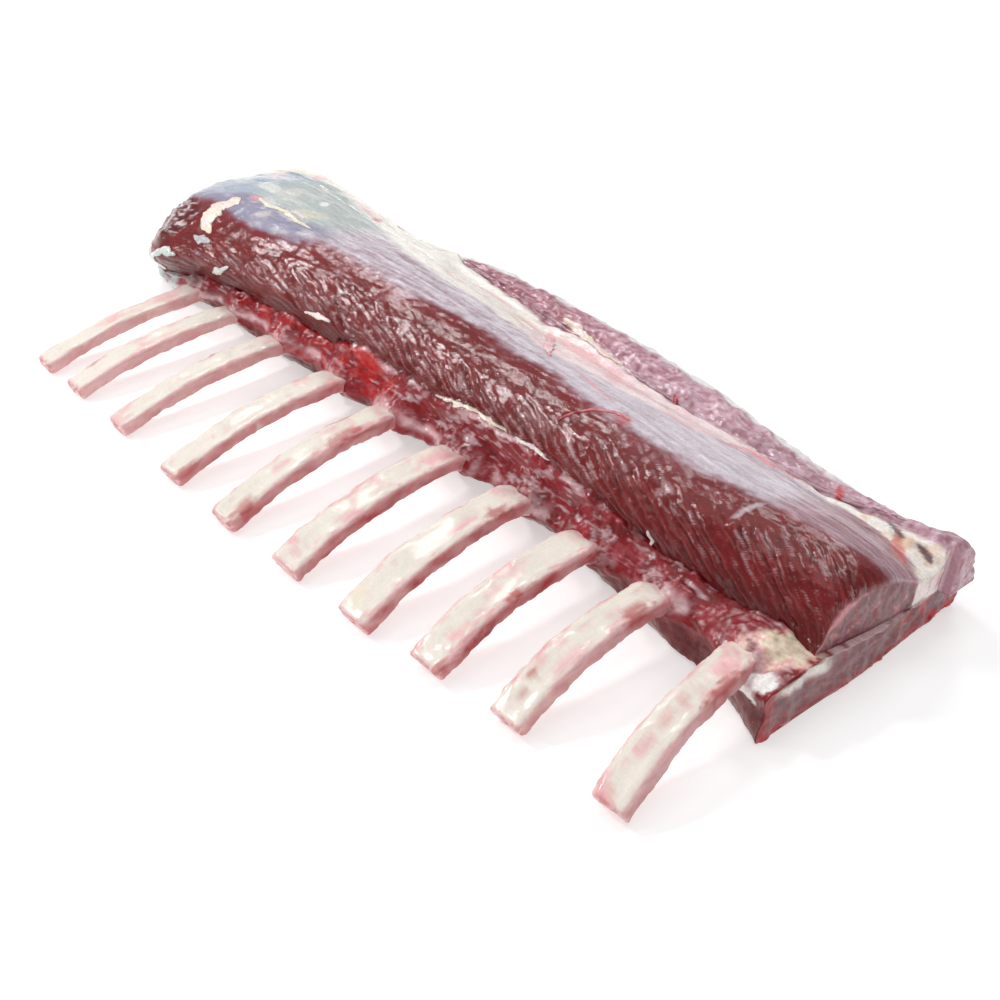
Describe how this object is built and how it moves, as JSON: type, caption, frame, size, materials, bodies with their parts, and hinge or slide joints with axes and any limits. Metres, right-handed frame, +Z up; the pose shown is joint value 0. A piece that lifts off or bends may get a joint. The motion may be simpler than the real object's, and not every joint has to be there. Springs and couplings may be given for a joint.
{
  "type": "rack of venison",
  "caption": "Raw rack of venison lying flat: arched, scraped rib bones along one side, a meat plate, a round dark loin with grooved fibres, a fat ridge and a narrow far loin.",
  "frame": {"origin": "middle of the bounding box's floor, on the flat underside", "axes": "+X along the rack to its near cut end, -Y towards the rib tips, +Z up with the rack lying flat"},
  "size_m": [0.401, 0.1926, 0.0505],
  "materials": {
    "plate_meat": "moist raw meat, dark red with a silvery membrane",
    "loin_meat": "moist raw meat, dark maroon, glossy",
    "far_meat": "moist raw meat under a mauve membrane",
    "fat": "moist cream and pink fat",
    "bone": "scraped bone, ivory with red edges"
  },
  "bodies": {
    "root": {"rib_plate": "plate_meat", "near_loin": "loin_meat", "back_fat": "fat", "far_loin": "far_meat", "rib_01": "bone", "rib_02": "bone", "rib_03": "bone", "rib_04": "bone", "rib_05": "bone", "rib_06": "bone", "rib_07": "bone", "rib_08": "bone", "rib_09": "bone", "rib_10": "bone"}
  },
  "joints": []
}
